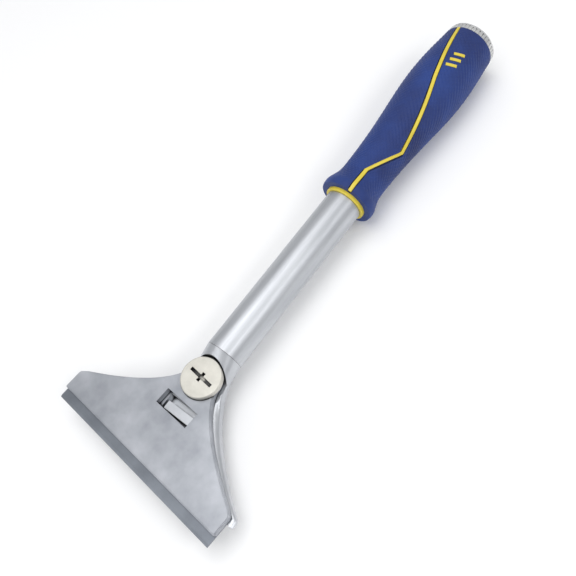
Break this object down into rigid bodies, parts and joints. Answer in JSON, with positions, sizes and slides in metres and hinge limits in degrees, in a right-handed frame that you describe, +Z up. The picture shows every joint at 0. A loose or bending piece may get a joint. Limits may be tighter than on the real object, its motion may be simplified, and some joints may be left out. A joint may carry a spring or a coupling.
{
  "type": "floor scraper",
  "caption": "Hand floor scraper with a clamped replaceable blade, a disc-head clamp screw, a bare tube handle and a blue and yellow soft grip.",
  "frame": {"origin": "on the clamp screw's axis, at the flat sole on the head's underside", "axes": "+X along the handle from the head towards the butt, +Z up out of the side that carries the clamp screw, Y across the blade"},
  "size_m": [0.2698, 0.103, 0.031],
  "materials": {
    "casting": "satin",
    "blade_steel": "satin",
    "nickel": "satin",
    "tube_metal": "polished",
    "brass": "satin",
    "spring_steel": "satin",
    "yellow_plastic": "satin",
    "blue_rubber": "matte",
    "black_rubber": "matte",
    "cap_metal": "satin"
  },
  "bodies": {
    "head": {"head_body": "casting", "thread_insert": "brass", "handle_tube": "tube_metal", "tube_pin": "spring_steel", "grip_core": "yellow_plastic", "grip_skin": "blue_rubber", "grip_badge": "yellow_plastic", "butt_bush": "spring_steel"},
    "washer": {"screw_washer": "spring_steel"},
    "plate": {"cover_plate": "casting"},
    "screw": {"clamp_screw": "nickel", "screw_clip": "spring_steel"},
    "blade_body": {"blade": "blade_steel"},
    "cap_seal": {"cap_ring": "black_rubber"},
    "cap": {"end_cap": "cap_metal"}
  },
  "joints": [
    {"name": "plate_lift", "type": "slide", "parent": "head", "child": "washer", "axis": [0, 0, 1], "range_m": [0, 0.002]},
    {"name": "plate_swing", "type": "hinge", "parent": "washer", "child": "plate", "pos_m": [0, 0, 0.0101], "axis": [0, 0, 1], "range_deg": [0, 9]},
    {"name": "screw_turn", "type": "hinge", "parent": "washer", "child": "screw", "pos_m": [0, 0, 0.0101], "axis": [0, 0, 1], "range_deg": [0, 905]},
    {"name": "blade_slide", "type": "slide", "parent": "plate", "child": "blade_body", "axis": [-0.9969, 0.0785, 0], "range_m": [0, 0.012]},
    {"name": "cap_out", "type": "slide", "parent": "head", "child": "cap_seal", "axis": [1, 0, 0], "range_m": [0, 0.006]},
    {"name": "cap_turn", "type": "hinge", "parent": "cap_seal", "child": "cap", "pos_m": [0.214, 0, 0.009], "axis": [1, 0, 0], "range_deg": [0, 1445]}
  ],
  "couplings": [
    {"joint": "screw_turn", "follows": "plate_lift", "rad_per_m": 7854},
    {"joint": "cap_turn", "follows": "cap_out", "rad_per_m": 4188.8}
  ]
}
